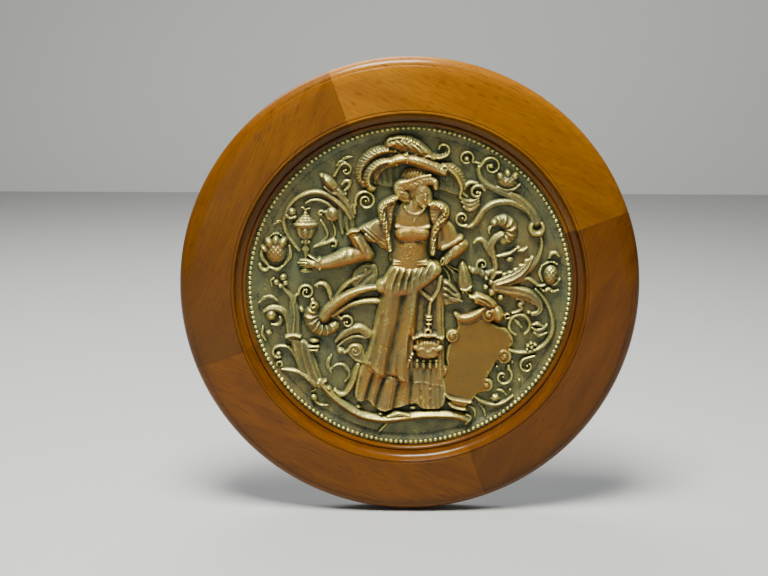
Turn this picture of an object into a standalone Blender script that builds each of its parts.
"""A round wall plaque: a cast bronze medallion in a frame turned from four mitred wood blocks.

The back lies on the plane y = 0 and the face looks along -Y. X is to the viewer's right and Z is up.
The origin is the middle of the back. Metres.
"""

import math

import bpy
import numpy as np

# Frame: widths are measured outwards from the opening, depths from the back to the front
SIGHT_RADIUS = 0.128
LIP_WIDTH = 0.0034
COVE_WIDTH = 0.0054
ARRIS_WIDTH = 0.0008
FACE_WIDTH = 0.0349
OVOLO_WIDTH = 0.0075
FRAME_DEPTH = 0.022
ARRIS_DROP = 0.0012
OVOLO_DROP = 0.0083
LIP_THICKNESS = 0.0045
REBATE_DEPTH = 0.01025
REBATE_WIDTH = 0.003
BLOCK_COUNT = 4
FIRST_JOINT_DEGREES = 20.5
JOINT_GAP = 0.0003
FRAME_STEPS = 15

# Medallion: widths are measured inwards from the frame's opening
FIT_GAP = 0.0003
BEAD_GAP = 0.0008
BEAD_DIAMETER = 0.0032
BEAD_RISE = 0.0012
RIM_SLOPE_WIDTH = 0.0055
GROUND_DROP = 0.002
RELIEF_RISE = 0.013
RELIEF_SUNK = 0.001
RELIEF_FADE = 0.0015
PLATE_STEPS = 60
GRID_STEPS = 210
KEPT_SHARE = 0.034

# The relief is drawn on a field of this radius, and its tallest form rises this far. Every point
# and height of the carving below is a share of these two.
DRAWN_RADIUS = 118.5
DRAWN_RISE = 13.0

WOOD_COLOURS = {
    "top": (0.33, 0.13, 0.014),
    "left": (0.12, 0.035, 0.010),
    "bottom": (0.20, 0.070, 0.010),
    "right": (0.14, 0.045, 0.010),
}
BRONZE_COLOUR = (0.16, 0.11, 0.055)


def clear_scene():
    for obj in list(bpy.data.objects):
        bpy.data.objects.remove(obj, do_unlink=True)


def plain_material(name, colour, roughness, metallic):
    """A Principled surface of one colour."""
    material = bpy.data.materials.new(name)
    material.use_nodes = True
    shader = material.node_tree.nodes["Principled BSDF"]
    shader.inputs["Base Color"].default_value = (*colour, 1)
    shader.inputs["Roughness"].default_value = roughness
    shader.inputs["Metallic"].default_value = metallic
    return material


def solid(name, points, faces, material):
    """Puts a closed surface into the scene as one named object."""
    mesh = bpy.data.meshes.new(name)
    mesh.from_pydata(points, [], faces)
    mesh.validate()
    mesh.shade_smooth()
    mesh.set_sharp_from_angle(angle=math.radians(35))
    mesh.materials.append(material)
    piece = bpy.data.objects.new(name, mesh)
    bpy.context.collection.objects.link(piece)
    return piece


# Frame

def arc(centre, radii, start, end, steps):
    """Points on an ellipse about the centre, from one angle to another, in degrees."""
    angles = np.radians(np.linspace(start, end, steps + 1))
    return [(centre[0] + radii[0] * math.cos(a), centre[1] + radii[1] * math.sin(a)) for a in angles]


def frame_profile():
    """The frame's cut section as (radius, depth), once round: rebate, lip, cove, face, ovolo, back."""
    lip_outer = SIGHT_RADIUS + LIP_WIDTH
    face_inner = lip_outer + COVE_WIDTH + ARRIS_WIDTH
    face_outer = face_inner + FACE_WIDTH
    rebate = SIGHT_RADIUS + REBATE_WIDTH
    lip_top = REBATE_DEPTH + LIP_THICKNESS
    lip_half = LIP_WIDTH / 2
    cove_drop = FRAME_DEPTH - ARRIS_DROP - lip_top
    lip_centre = (SIGHT_RADIUS + lip_half, lip_top - lip_half)
    ovolo_depth = FRAME_DEPTH - ARRIS_DROP - OVOLO_DROP
    profile = [(rebate, 0), (rebate, REBATE_DEPTH), (SIGHT_RADIUS, REBATE_DEPTH)]
    profile += arc(lip_centre, (lip_half, lip_half), 180, 30, 4)
    profile += arc((lip_outer, lip_top + cove_drop), (COVE_WIDTH, cove_drop), -90, 0, 4)
    profile += [(face_inner, FRAME_DEPTH), (face_outer, FRAME_DEPTH)]
    profile += arc((face_outer, ovolo_depth), (OVOLO_WIDTH, OVOLO_DROP), 90, 0, 4)
    return profile + [(face_outer + OVOLO_WIDTH, 0)]


def frame_block(name, start, end, colour):
    """One block of the ring: the profile turned about the middle from one joint to the next."""
    gap_angle = JOINT_GAP / 2 / SIGHT_RADIUS
    angles = np.linspace(start + gap_angle, end - gap_angle, FRAME_STEPS + 1)
    profile = frame_profile()
    points = [(r * math.cos(a), -depth, r * math.sin(a)) for a in angles for r, depth in profile]
    count = len(profile)
    faces = [tuple(range(count))[::-1], tuple(FRAME_STEPS * count + k for k in range(count))]
    for step in range(FRAME_STEPS):
        for k in range(count):
            near = step * count
            far = near + count
            following = (k + 1) % count
            faces.append((near + k, near + following, far + following, far + k))
    solid(name, points, faces, plain_material(name + "_wood", colour, 0.35, 0.0))


def wood_frame():
    """Four blocks, named by where each lies, from the joint at the right of the top block."""
    places = ("top", "left", "bottom", "right")
    for k in range(BLOCK_COUNT):
        start = math.radians(FIRST_JOINT_DEGREES + 360 / BLOCK_COUNT * k)
        place = places[k % len(places)]
        name = "frame_stave_" + place + ("" if k < len(places) else f"_{k // len(places) + 1}")
        frame_block(name, start, start + 2 * math.pi / BLOCK_COUNT, WOOD_COLOURS[place])


# Carving tools: each raises the relief's surface over the drawn field

def curve(points, closed=False):
    """A smooth curve through the points, close enough together for the grid."""
    p = np.asarray(points, float)
    if closed:
        p = np.vstack([p[-1:], p, p[:2]])
    else:
        p = np.vstack([2 * p[0] - p[1], p, 2 * p[-1] - p[-2]])
    t = np.linspace(0, 1, 6, endpoint=False)[:, None]
    parts = []
    for a, b, c, d in zip(p[:-3], p[1:-2], p[2:-1], p[3:]):
        bend = 2 * a - 5 * b + 4 * c - d
        twist = 3 * b - a - 3 * c + d
        parts.append(0.5 * (2 * b + (c - a) * t + bend * t**2 + twist * t**3))
    if not closed:
        parts.append(p[-2:-1])
    return np.vstack(parts)


def turn(centre, radius, start, end, last_radius=None):
    """Points of a ring, or of a scroll whose radius runs evenly to last_radius, by degrees."""
    steps = max(3, int(abs(end - start) / 30))
    angles = np.radians(np.linspace(start, end, steps + 1))
    radii = np.linspace(radius, radius if last_radius is None else last_radius, steps + 1)
    return [(centre[0] + r * math.cos(a), centre[1] + r * math.sin(a)) for a, r in zip(angles, radii)]


def along(ends, count):
    """A value for each of count points: one number, or an even run between two."""
    first, last = ends if isinstance(ends, tuple) else (ends, ends)
    return np.linspace(first, last, count)


def nearest(x, z, line):
    """Distance of each place from a line of points, and how far along it, from 0 to 1, that is."""
    best = np.full(x.shape, np.inf)
    share = np.zeros(x.shape)
    count = len(line) - 1
    for k, (a, b) in enumerate(zip(line[:-1], line[1:])):
        step = b - a
        t = np.clip(((x - a[0]) * step[0] + (z - a[1]) * step[1]) / (step @ step + 1e-9), 0, 1)
        distance = np.hypot(x - a[0] - t * step[0], z - a[1] - t * step[1])
        closer = distance < best
        best = np.where(closer, distance, best)
        share = np.where(closer, (k + t) / count, share)
    return best, share


class Relief:
    """The carved surface: one height for each place (x, z) of the drawn field."""

    def __init__(self, x, z):
        self.x = x
        self.z = z
        self.height = np.zeros_like(x)

    def around(self, low, high, reach):
        inside = (self.x > low[0] - reach) & (self.x < high[0] + reach)
        inside &= (self.z > low[1] - reach) & (self.z < high[1] + reach)
        return np.nonzero(inside)[0]

    def stroke(self, points, width, height, floor=0.0):
        """A rounded moulding along a curve: sqrt(1 - (distance / width)^2) of its height."""
        line = curve(points)
        widths = along(width, len(line))
        heights = along(height, len(line))
        index = self.around(line.min(0), line.max(0), widths.max())
        distance, share = nearest(self.x[index], self.z[index], line)
        place = share * (len(line) - 1)
        wide = np.interp(place, np.arange(len(line)), widths)
        tall = np.interp(place, np.arange(len(line)), heights)
        round_share = np.sqrt(np.clip(1 - (distance / wide) ** 2, 0, 1))
        form = np.where(distance < wide, floor + tall * round_share, 0)
        self.height[index] = np.maximum(self.height[index], form)

    def dome(self, centre, radii, height, degrees=0.0, floor=0.0):
        """A half ellipsoid, turned by degrees."""
        index = self.around(np.array(centre), np.array(centre), max(radii))
        cos, sin = math.cos(math.radians(degrees)), math.sin(math.radians(degrees))
        x, z = self.x[index] - centre[0], self.z[index] - centre[1]
        distance = np.hypot((x * cos + z * sin) / radii[0], (z * cos - x * sin) / radii[1])
        form = np.where(distance < 1, floor + height * np.sqrt(np.clip(1 - distance**2, 0, 1)), 0)
        self.height[index] = np.maximum(self.height[index], form)

    def plate(self, outline, height, edge, folds=(), fold_width=2.5, fold_rise=1.5):
        """A raised area inside a closed outline, rounded over the edge width, with folds along it."""
        line = curve(outline, closed=True)
        index = self.around(line.min(0), line.max(0), 0)
        x, z = self.x[index], self.z[index]
        crossings = np.zeros(len(index), int)
        for a, b in zip(line, np.roll(line, -1, axis=0)):
            rise = b[1] - a[1] if b[1] != a[1] else 1e-9
            crossings += ((a[1] > z) != (b[1] > z)) & (x < (b[0] - a[0]) * (z - a[1]) / rise + a[0])
        distance, _ = nearest(x, z, np.vstack([line, line[:1]]))
        inwards = np.clip(distance / edge, 0, 1)
        form = height * np.sqrt(1 - (1 - inwards) ** 2)
        for fold in folds:
            form += inwards * fold_rise * np.exp(-(nearest(x, z, curve(fold))[0] / fold_width) ** 2)
        form = np.where(crossings % 2 == 1, form, 0)
        self.height[index] = np.maximum(self.height[index], form)

    def groove(self, points, width, depth):
        """A soft channel cut along a curve."""
        line = curve(points)
        index = self.around(line.min(0), line.max(0), 2 * width)
        distance, _ = nearest(self.x[index], self.z[index], line)
        cut = depth * np.exp(-(distance / width) ** 2)
        self.height[index] = np.maximum(self.height[index] - cut, 0)


# Lady

def gown(relief):
    underskirt = [(-42, -57), (-43, -90), (-35, -92), (-22, -99), (-5, -95), (10, -97), (27, -95), (29, -75)]
    relief.plate(underskirt, 4.5, 3, [[(-28, -72), (-31, -92)], [(-14, -75), (-19, -97)],
                                      [(-3, -76), (-5, -94)], [(10, -78), (11, -96)]])
    skirt = [(-14, 20), (-24, -5), (-27, -20), (-31, -40), (-36, -55), (-42, -57), (-33, -65),
             (-25, -71), (-10, -75.5), (5, -77.5), (26, -80), (30, -58), (28, -40), (27, -20),
             (25, -3), (12, 20)]
    relief.plate(skirt, 6.5, 4, [[(3, -6), (-2, -30), (-5, -60), (-6, -75)],
                                 [(-20, -6), (-22, -30), (-27, -60)], [(22, -4), (22, -40), (20, -76)]],
                 fold_width=3.5, fold_rise=2)
    relief.groove([(-3, -12), (-8, -38), (-14, -68)], 2, 2)
    relief.groove([(9, -8), (10, -38), (8, -74)], 2.5, 2.5)
    gathers = [(-14, 21), (12, 20.5), (18, 24), (23.5, 20), (24, 14), (15, 8), (6, 1), (-8, -3),
               (-21, -3), (-24, 0), (-23, 6), (-19, 13)]
    relief.plate(gathers, 8, 3, [[(-12, 20), (-18, 8), (-21, 0)], [(-6, 20), (-10, 8), (-12, -1)],
                                 [(1, 20), (0, 10), (-2, 1)], [(7, 20), (9, 13), (9, 6)]])
    relief.stroke([(-23, -1), (-12, -2.5), (0, -1), (8, 5), (16, 11), (22, 14)], 2.2, 8, 1)


def bodice(relief):
    torso = [(-15, 21), (13, 21), (17, 32), (20, 45), (24, 58), (28, 66), (20, 72), (9, 66), (-4, 64),
             (-10, 76), (-21, 73), (-20, 62), (-17, 50), (-16, 34)]
    relief.plate(torso, 7, 4)
    relief.dome((0, 31), (12, 13), 3, floor=6)
    relief.dome((0, 45), (13, 7), 4.5, floor=6)
    relief.stroke([(-11, 49), (2, 47.5), (15, 49)], 1.3, 3, 8)
    relief.stroke([(-12, 21.5), (12, 21.5)], 1.6, 3, 6.5)
    relief.stroke([(-10, 79), (-20, 73), (-19, 60), (-16, 47), (-15, 33)], 2.4, 3.2, 6.5)
    relief.stroke([(19, 72), (26, 70), (27, 63), (21, 54), (20, 42), (19.5, 30)], (3.4, 2.2), 3.2, 6.5)
    relief.dome((3, 64), (6.5, 8), 3.5, floor=6)


def arms(relief):
    cape = [(-17, 58), (-38, 49.5), (-40, 47), (-31, 40.5), (-22, 33), (-15, 33)]
    relief.plate(cape, 9, 4, [[(-20, 54), (-33, 45)], [(-18, 46), (-26, 38)]])
    relief.dome((-39, 36), (9, 9), 8.5)
    relief.stroke([(-42, 28), (-55, 23.5), (-70, 19.5)], (6.5, 3.2), (8.5, 7))
    relief.dome((-79, 20), (8, 2.8), 6, degrees=-4)
    sleeve = [(20, 60), (30, 51), (38, 42), (36, 36.5), (26, 32.5), (19, 34)]
    relief.plate(sleeve, 9, 4, [[(23, 54), (33, 42)]])
    relief.stroke([(26, 34), (38, 41)], 2.2, 3, 7)
    relief.stroke([(40, 36), (35, 30), (29, 24.5)], (4.8, 3.6), (8.5, 8))
    relief.stroke([(34, 15.5), (42, 15), (47, 11), (44, 3)], (1.2, 4), (3.5, 5))
    relief.plate([(26, 11), (36, 12), (43, 3), (39, -3), (34, -10), (27, -9)], 4.5, 3,
                 [[(30, 9), (33, -6)], [(37, 8), (37, -2)]])


def head_and_hat(relief):
    relief.stroke([(-13, 109), (-30, 110), (-41, 105), (-44.5, 97), (-43, 88)], (3.5, 2), (4.5, 3.5))
    relief.plate([(-12, 104), (-20, 105), (-30, 102), (-37, 93), (-39, 83), (-31, 82.5), (-29, 90),
                  (-24, 97), (-16, 100)], 7.5, 3, [[(-15, 102), (-27, 99), (-34, 90)]])
    relief.plate([(-16, 117), (-8, 121), (2, 118.5), (10, 110), (14, 103), (4, 103), (-4, 107),
                  (-13, 112)], 7, 3, [[(-12, 117), (0, 113), (8, 106)]])
    relief.stroke([(8, 105), (15, 104), (22, 102.5)], (3, 2), 6.5)
    relief.stroke(turn((24, 108.5), 5, -90, 230, 3.2), 2, 6)
    relief.stroke([(-28, 96), (-20, 99), (-12, 102), (-3, 104.5), (8, 102), (18, 98.5), (27, 95)], 3, 10.5)
    relief.stroke([(26, 98), (34, 92), (39, 84), (39.5, 75)], (2, 1.4), 6.5)
    relief.dome((6, 77), (12, 15), 10.5)
    relief.dome((8, 76), (8, 9.5), 5, degrees=-12, floor=7)
    relief.stroke([(-5, 73), (-8.5, 80), (-3, 86), (6, 88.5), (14, 89), (19, 85)], 3, 4, 8.5)
    relief.dome((4, 93), (13, 8), 11.5)


def purse(relief):
    relief.stroke([(7, 1), (12, -4.5), (17, -9)], 1.3, 2.4, 7)
    relief.stroke([(24, 10), (21.5, -1), (17, -9)], 1.3, 2.4, 7)
    relief.stroke([(16, -9), (15.4, -20), (14.5, -37)], 1.4, 2.4, 6.5)
    relief.stroke([(3, -38.5), (14.5, -36), (26, -38.5)], 1.8, 3, 7)
    relief.plate([(4, -38), (25, -38), (24.5, -47), (20, -54.5), (9, -54.5), (4.5, -47)], 9.5, 3,
                 [[(8, -40), (10, -53)], [(14.5, -40), (14.5, -53)], [(21, -40), (19, -53)]], fold_width=1.6)
    for x in (6, 12.5, 19.5):
        relief.stroke([(x, -56), (x, -62.5)], (1.2, 1.8), 2, 6.5)


def lady(relief):
    gown(relief)
    bodice(relief)
    arms(relief)
    purse(relief)
    head_and_hat(relief)


# Cup

def cup(relief):
    """The covered cup, stacked up its own axis: foot, stem, knop, bowl, rim, lid and finial."""
    axis = -81.5
    rings = [(13.5, 6, 1.6), (16.5, 3.2, 1.8), (37, 4.6, 1.4), (51, 10, 1.5), (59, 3, 1.4), (62.5, 1.6, 1.8)]
    relief.stroke([(axis, 14), (axis, 24)], (2.4, 1.1), 4.5)
    relief.dome((axis, 29.5), (3.2, 5.5), 5)
    relief.stroke([(axis, 34), (axis, 40)], (1.4, 3.4), 4)
    relief.plate([(axis - 4, 39), (axis + 4, 39), (axis + 8, 44), (axis + 9.5, 50), (axis - 9.5, 50),
                  (axis - 8, 44)], 5.5, 4, [[(axis + x * 0.5, 41), (axis + x, 49)] for x in (-6, 0, 6)])
    relief.dome((axis, 52.5), (8, 5.5), 5.5)
    for height, half_width, thickness in rings:
        relief.stroke([(axis - half_width, height), (axis + half_width, height)], thickness, 5)


# Cartouche

def cartouche(relief):
    face = [(36, -24), (50, -23.5), (58, -19), (66, -26), (77, -31), (83, -40), (82, -47), (76, -53),
            (68, -60), (63, -70), (62, -82), (55, -85), (48, -91), (30, -86), (26.5, -76), (28, -62),
            (31, -45), (37, -32)]
    relief.plate(face, 4.5, 2.5)
    relief.stroke([(36, -22), (44, -24.5), (52, -22.5), (58, -17.5)], 2, 3.5, 3)
    relief.stroke([(38, -17), (47, -20), (58, -16)], 1.4, 4)
    relief.stroke(turn((61.5, -20.5), 3.6, -20, 340), 1.7, 5, 3)
    relief.stroke([(66, -15), (70, -20), (73, -28)], (2.5, 3.5), 4.5, 3)
    relief.stroke([(82, -38), (83.5, -45), (79, -50.5)], 1.8, 3.5, 3)
    for x, z, r in ((75.5, -54, 5.5), (62, -77.5, 5), (34, -37.5, 4.8), (25.5, -66, 4.6)):
        relief.stroke(turn((x, z), r * 0.7, 0, 330), r * 0.32, 4.5, 3)
        relief.dome((x, z), (r * 0.35, r * 0.35), 4, floor=3)
    relief.stroke([(28, -86), (38, -89), (48, -92.5)], (3.4, 4.2), 4.5, 3)
    relief.stroke([(48, -6), (54, -8), (60, -14)], 1.5, 6)
    relief.stroke([(57, -7), (66, -12), (77, -20)], 1.5, 5)


# Foliage

def scroll(relief, centre, radius, start, end, width, height, stem=(), last_radius=None):
    """A stem that runs into a spiral, with an eye in its middle."""
    last = radius * 0.35 if last_radius is None else last_radius
    relief.stroke(list(stem) + turn(centre, radius, start, end, last), width, height)
    relief.dome(centre, (radius * 0.3, radius * 0.3), height if isinstance(height, float) else height[1])


def pomegranate(relief, centre, radii, degrees, crown):
    """A swelling fruit with a ruffled crown."""
    relief.dome(centre, radii, 5.5, degrees)
    relief.stroke(crown, 1.4, 3.5)


def husk(relief, centre, radius, start, end, lobes, size):
    """A half-open husk: a fan of lobes about a centre."""
    for angle in np.radians(np.linspace(start, end, lobes)):
        place = (centre[0] + radius * math.cos(angle), centre[1] + radius * math.sin(angle))
        relief.dome(place, (size, size * 0.75), 5, math.degrees(angle))
    relief.dome(centre, (radius * 0.75, radius * 0.75), 3.4)


def left_foliage(relief):
    relief.stroke(turn((-73, 52), 24, 160, 20), 1.8, 4)
    relief.stroke([(-98, 52), (-95, 42), (-90, 35), (-87, 30)], (1.6, 1), 3)
    relief.stroke([(-80, 68), (-72, 69.5), (-63, 66.5)], 1.2, 3)
    relief.stroke([(-70, 52), (-65, 46), (-66, 40), (-74, 33)], 1.1, 3)
    for centre, radii, degrees in (((-92, 60), (4, 4.5), 0), ((-60, 60), (5, 6), 0), ((-62, 83), (8.5, 5), -40),
                                   ((-104.5, 6), (3.4, 3.4), 0), ((-99, 9), (3.8, 3.8), 0),
                                   ((-109, -21), (5, 5), 0), ((-54, -50), (4, 4), 0), ((-75, -42), (4.5, 2.5), 0)):
        relief.dome(centre, radii, 5, degrees)
    relief.stroke([(-55, 76), (-51, 71), (-46, 62)], 1.4, 3.5)
    scroll(relief, (-50, 93), 5, 200, -60, 1.8, 4.0, [(-57, 89)])
    relief.stroke([(-54, 100), (-49, 102.5), (-44, 103)], 1.6, 3.5)
    scroll(relief, (-34.5, 69.5), 8, 250, -330, (2.2, 1.4), 5.0)
    for x in (-54, -50, -46):
        relief.stroke([(x, 74), (x - 1, 60), (x + 1, 44)], 1.6, 3.2)
    pomegranate(relief, (-104.5, 29), (9, 9), 0, [(-109, 41), (-104, 43.5), (-99, 41)])
    relief.stroke([(-116, 17), (-109, 14.5), (-103, 17)], 1.4, 3.5)
    relief.stroke([(-72, 33), (-65, 35.5), (-60, 38), (-57.5, 35), (-60, 33)], 1.5, 4)
    relief.plate([(-45, 3), (-44, 14), (-34, 20), (-27, 18), (-26, 6), (-34, 0)], 3.5, 2.5,
                 [[(-42, 6), (-30, 17)], [(-36, 3), (-28, 12)]])
    relief.stroke([(-100, 3), (-95, -4), (-91, -13), (-91.5, -38)], (1.4, 4), (3.5, 4.5))
    scroll(relief, (-81, -3), 6, 200, -200, (2, 1.3), 4.5, [(-91, -8)])
    relief.plate([(-89, -41), (-74, -45), (-69, -76), (-62, -86), (-76, -84), (-84, -74), (-89, -60)], 5, 4,
                 [[(-84, -46), (-80, -70)], [(-78, -46), (-73, -74)]])
    relief.stroke([(-118, -11), (-111, -6), (-105, -8)], (1, 2), 3.2)
    relief.stroke([(-96, -30), (-97, -22), (-103, -16.5), (-114, -18)], 1.9, 4)
    relief.stroke([(-73, 2), (-67, 4), (-62, -4), (-61, -10)], 1.8, 4)
    relief.stroke([(-24, 1), (-45, -4), (-56, -10), (-63, -16), (-67, -23)], (3, 3.6), (5.5, 6))
    relief.stroke([(-24, -10.5), (-45, -13), (-53, -17), (-60, -22)], 1.9, 4.5)
    relief.stroke([(-40, 9), (-46, 6), (-58, -7)], 1.6, 4)
    husk(relief, (-69, -24), 9.5, 150, 310, 6, 4.2)
    scroll(relief, (-49, -27), 6, 150, -120, 1.8, 4.2, [(-60, -21)])
    relief.stroke([(-57, -42), (-50, -36), (-40, -32.5), (-33, -38)], (1.2, 2.4), 4)
    scroll(relief, (-42, -50), 5.5, 160, -200, 1.6, 4.2)
    relief.stroke([(-41, -62), (-45, -76), (-50, -84), (-58, -81.5)], (3, 1.8), 4.2)
    scroll(relief, (-103, -52), 6, 120, 300, 1.7, 4.0, [(-87, -63), (-91, -54), (-97, -46)])


def right_foliage(relief):
    scroll(relief, (43, 103), 5, 0, 330, 1.6, 4.0, [(52.5, 98)])
    scroll(relief, (62, 96), 7, 170, -120, 1.7, 4.0, [(53, 90)])
    relief.stroke([(52, 93), (54, 87), (63, 79.5), (78, 73.5)], 1.7, 3.8)
    relief.stroke([(78, 74), (88, 67), (98, 54)], (2.4, 3), 4.2)
    pomegranate(relief, (75, 84.5), (9, 5.5), 0, [(67, 90), (75, 92.5), (83, 89)])
    relief.stroke([(42, 49), (50, 52), (55, 60), (66, 67.5), (80, 67.5), (90, 62.5)], 1.7, 4)
    scroll(relief, (40.5, 55.5), 5.5, -60, -330, 1.5, 4.0)
    relief.stroke(turn((98.5, 49), 4.5, 120, 420), 1.5, 4)
    relief.stroke([(101, 44), (102, 34), (97, 19), (88, 9)], 1.4, 3.4)
    scroll(relief, (51, 76), 6, 60, 340, 1.9, 4.2)
    relief.plate([(40, 60), (42, 71), (49, 72), (52, 64), (47, 59)], 3.6, 2.5, [[(43, 62), (48, 70)]])
    relief.plate([(29, 60), (31, 75), (37, 72), (39, 62)], 3, 2.5, [[(33, 62), (34, 72)]])
    husk(relief, (72.5, 46), 7.5, 110, -90, 6, 3.8)
    relief.dome((61.5, 47), (4.5, 3), 4, 20)
    relief.stroke([(69, 41), (63.5, 34), (65, 27), (66.5, 20), (65, 12)], 2.1, 4.2)
    relief.stroke([(67, 26), (75, 27.5), (82, 32)], 1.4, 3.2)
    relief.dome((78, 23), (4, 2.6), 4.5)
    relief.stroke([(48, 37), (54, 39.5), (60, 32), (66, 25)], (1.4, 2.2), 3.8)
    scroll(relief, (56.5, 20), 4.5, 200, -100, 1.6, 4.0)
    relief.stroke([(48, 15), (55, 13.5), (62, 14)], 1.8, 3.6)
    for centre in ((64, 5), (65, -3), (72, -7)):
        relief.dome(centre, (3.8, 3.8), 5)
    relief.stroke([(66, 4), (80, 9), (89, 15), (95, 26)], (3.2, 1.6), (5, 3.5))
    relief.stroke([(69, 1), (84, -1.5), (96, -5), (103, -13), (98, -19.5), (93, -18)], (3.4, 1.6), (5, 3.5))
    relief.stroke([(84, 5), (92, 8.5), (100, 3), (106, 3)], 1.4, 3.2)
    relief.stroke([(100, -1), (110, -16), (113, -30), (106, -45), (92, -51), (80, -49)], 1.5, 3.4)
    relief.dome((97, -47), (4, 4), 4.5)
    pomegranate(relief, (110.5, 11), (6.2, 8.6), 0, [(106, 21), (110, 22.5), (115, 21)])
    relief.stroke([(104, 0), (111, -2), (115, -3)], 1.6, 3)
    relief.stroke(turn((87, -29), 8, -60, 240), 1.3, 3.2)
    relief.stroke([(82, -24), (87, -30)], 2, 3.5)
    relief.dome((103, -30.5), (5.5, 3), 4, 20)
    relief.dome((103, -37), (5.5, 3), 4, -15)
    relief.stroke([(83, -8), (89, -10), (86, -13), (88, -16), (81, -19)], 1.3, 3.2)
    scroll(relief, (75, -71), 7.5, 90, -240, 1.8, 4.2)
    scroll(relief, (94, -62), 6.5, 130, 400, 1.7, 4.0)
    relief.dome((69, -88.5), (4.5, 4), 4.5)
    relief.stroke([(53, -88), (60, -93), (70, -94), (82, -87)], 1.4, 3.4)


def ground_branch(relief):
    """The cut branch that the lady stands on."""
    relief.stroke([(-100, -66), (-88, -68), (-80, -73), (-74, -78)], (2, 3.6), (3, 4.5))
    bough = [(-72, -76), (-62, -86), (-50, -96), (-33, -104), (-15, -106), (10, -103), (30, -103), (46, -106)]
    relief.stroke(bough, (3.6, 4.4), (5.5, 6))
    relief.stroke([(-70, -77), (-63, -80)], 2.6, 6.5)
    relief.stroke([(-76, -86), (-74, -94), (-66, -95)], (3, 1.4), 3.6)
    relief.stroke([(-5, -105), (-16, -109), (-23, -115)], 1.8, 4)


def carved_height(x, z):
    """Height of the relief above its ground at drawn places (x, z), as a share of its tallest form."""
    relief = Relief(x, z)
    left_foliage(relief)
    right_foliage(relief)
    ground_branch(relief)
    cup(relief)
    cartouche(relief)
    lady(relief)
    return relief.height / DRAWN_RISE


# Medallion

def field_radius():
    """Radius of the level ground, where the rim's slope begins."""
    return SIGHT_RADIUS - BEAD_GAP - BEAD_DIAMETER - RIM_SLOPE_WIDTH


def ground_depth():
    """Distance of the level ground from the wall."""
    return REBATE_DEPTH - FIT_GAP - GROUND_DROP


def turned_plate():
    """The casting without its relief: back, rim, bead ring and slope, turned about the middle.

    Inside the slope it is sunk below the ground, and the relief's own ground fills it.
    """
    rim = REBATE_DEPTH - FIT_GAP
    outer = SIGHT_RADIUS + REBATE_WIDTH - FIT_GAP
    bead_half = BEAD_DIAMETER / 2
    bead_middle = SIGHT_RADIUS - BEAD_GAP - bead_half
    slope = GROUND_DROP / RIM_SLOPE_WIDTH
    sunk = (field_radius() - RELIEF_SUNK / slope, ground_depth() - RELIEF_SUNK)
    profile = [(outer, 0), (outer, rim)]
    profile += arc((bead_middle, rim), (bead_half, BEAD_RISE), 0, 180, 4)
    profile += [(field_radius() + RIM_SLOPE_WIDTH, rim), sunk]
    angles = np.linspace(0, 2 * math.pi, PLATE_STEPS, endpoint=False)
    points = [(r * math.cos(a), -depth, r * math.sin(a)) for a in angles for r, depth in profile]
    middle = len(points)
    points += [(0, 0, 0), (0, -sunk[1], 0)]
    count = len(profile)
    faces = []
    for step in range(PLATE_STEPS):
        near = step * count
        far = (step + 1) % PLATE_STEPS * count
        faces += [(near + k, near + k + 1, far + k + 1, far + k) for k in range(count - 1)]
        faces.append((middle, near, far))
        faces.append((near + count - 1, middle + 1, far + count - 1))
    bronze = plain_material("cast_bronze", BRONZE_COLOUR, 0.38, 0.9)
    return solid("bronze_medallion", points, faces, bronze)


def relief_body():
    """A square grid bent to a disc, raised to the carving, closed by a side and a flat back."""
    radius = field_radius() + RIM_SLOPE_WIDTH / 2
    u, v = np.meshgrid(np.linspace(-1, 1, GRID_STEPS), np.linspace(-1, 1, GRID_STEPS))
    x = radius * u * np.sqrt(1 - v**2 / 2)
    z = radius * v * np.sqrt(1 - u**2 / 2)
    scale = DRAWN_RADIUS / field_radius()
    carved = carved_height((x * scale).ravel(), (z * scale).ravel()).reshape(x.shape)
    inside = np.clip((field_radius() + RIM_SLOPE_WIDTH / 4 - np.hypot(x, z)) / RELIEF_FADE, 0, 1)
    front = np.stack([x, -ground_depth() - RELIEF_RISE * carved * inside, z], axis=-1).reshape(-1, 3)
    back = np.stack([x, np.full_like(x, 2 * RELIEF_SUNK - ground_depth()), z], axis=-1).reshape(-1, 3)
    number = np.arange(GRID_STEPS**2).reshape(GRID_STEPS, GRID_STEPS)
    corner, right = number[:-1, :-1].ravel(), number[:-1, 1:].ravel()
    above, opposite = number[1:, :-1].ravel(), number[1:, 1:].ravel()
    front_faces = np.stack([corner, right, opposite, above], axis=1)
    back_faces = front_faces[:, ::-1] + len(front)
    edge = np.concatenate([number[0, :-1], number[:-1, -1], number[-1, :0:-1], number[:0:-1, 0]])
    following = np.roll(edge, -1)
    side_faces = np.stack([following, edge, edge + len(front), following + len(front)], axis=1)
    faces = np.concatenate([front_faces, back_faces, side_faces])
    bronze = bpy.data.materials["cast_bronze"]
    piece = solid("relief_form", np.vstack([front, back]).tolist(), faces.tolist(), bronze)
    thinned = piece.modifiers.new("facets", "DECIMATE")
    thinned.ratio = KEPT_SHARE
    piece.hide_render = True
    piece.display_type = "WIRE"
    return piece


def medallion():
    """The casting: the turned plate with the relief joined to it."""
    plate = turned_plate()
    joined = plate.modifiers.new("relief", "BOOLEAN")
    joined.operation = "UNION"
    joined.solver = "EXACT"
    joined.object = relief_body()


clear_scene()
wood_frame()
medallion()
